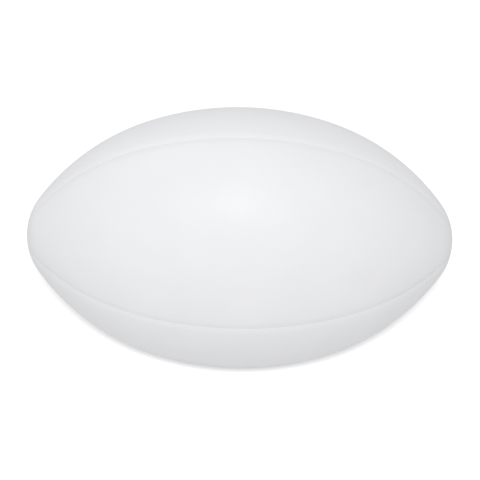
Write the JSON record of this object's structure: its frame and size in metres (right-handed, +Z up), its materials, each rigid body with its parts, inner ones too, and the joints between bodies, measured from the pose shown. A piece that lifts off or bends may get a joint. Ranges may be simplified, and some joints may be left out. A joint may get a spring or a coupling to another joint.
{
  "type": "rugby ball",
  "caption": "Pointed-oval game ball with stitched cover panels, cloth backing, an air bladder and a needle valve, for carrying, passing and kicking.",
  "frame": {"origin": "the middle of the ball, where its long axis crosses its middle plane", "axes": "+X along the long axis; +Z up, with the ball lying on its side; -Y to the front. Seams run from tip to tip at +Y, +Z, -Y and -Z"},
  "size_m": [0.2998, 0.1834, 0.1834],
  "materials": {
    "cover": "smooth satin white rubber",
    "backing_cloth": "plain woven cloth coated with latex",
    "seam_thread": "waxed twisted thread",
    "bladder_rubber": "dusted butyl rubber",
    "valve_rubber": "moulded rubber",
    "plug_rubber": "soft moulded rubber",
    "patch_cloth": "glued woven cloth"
  },
  "bodies": {
    "root": {"rear_upper_cover_panel": "cover", "rear_upper_inner_ply": "backing_cloth", "rear_upper_lining_ply": "backing_cloth", "front_upper_cover_panel": "cover", "front_upper_inner_ply": "backing_cloth", "front_upper_lining_ply": "backing_cloth", "front_lower_cover_panel": "cover", "front_lower_inner_ply": "backing_cloth", "front_lower_lining_ply": "backing_cloth", "rear_lower_cover_panel": "cover", "rear_lower_inner_ply": "backing_cloth", "rear_lower_lining_ply": "backing_cloth", "rear_seam_thread": "seam_thread", "top_seam_thread": "seam_thread", "front_seam_thread": "seam_thread", "bottom_seam_thread": "seam_thread", "bladder": "bladder_rubber", "valve_housing": "valve_rubber", "valve_plug": "plug_rubber", "valve_patch": "patch_cloth", "left_tip_patch": "patch_cloth", "right_tip_patch": "patch_cloth"}
  },
  "joints": []
}
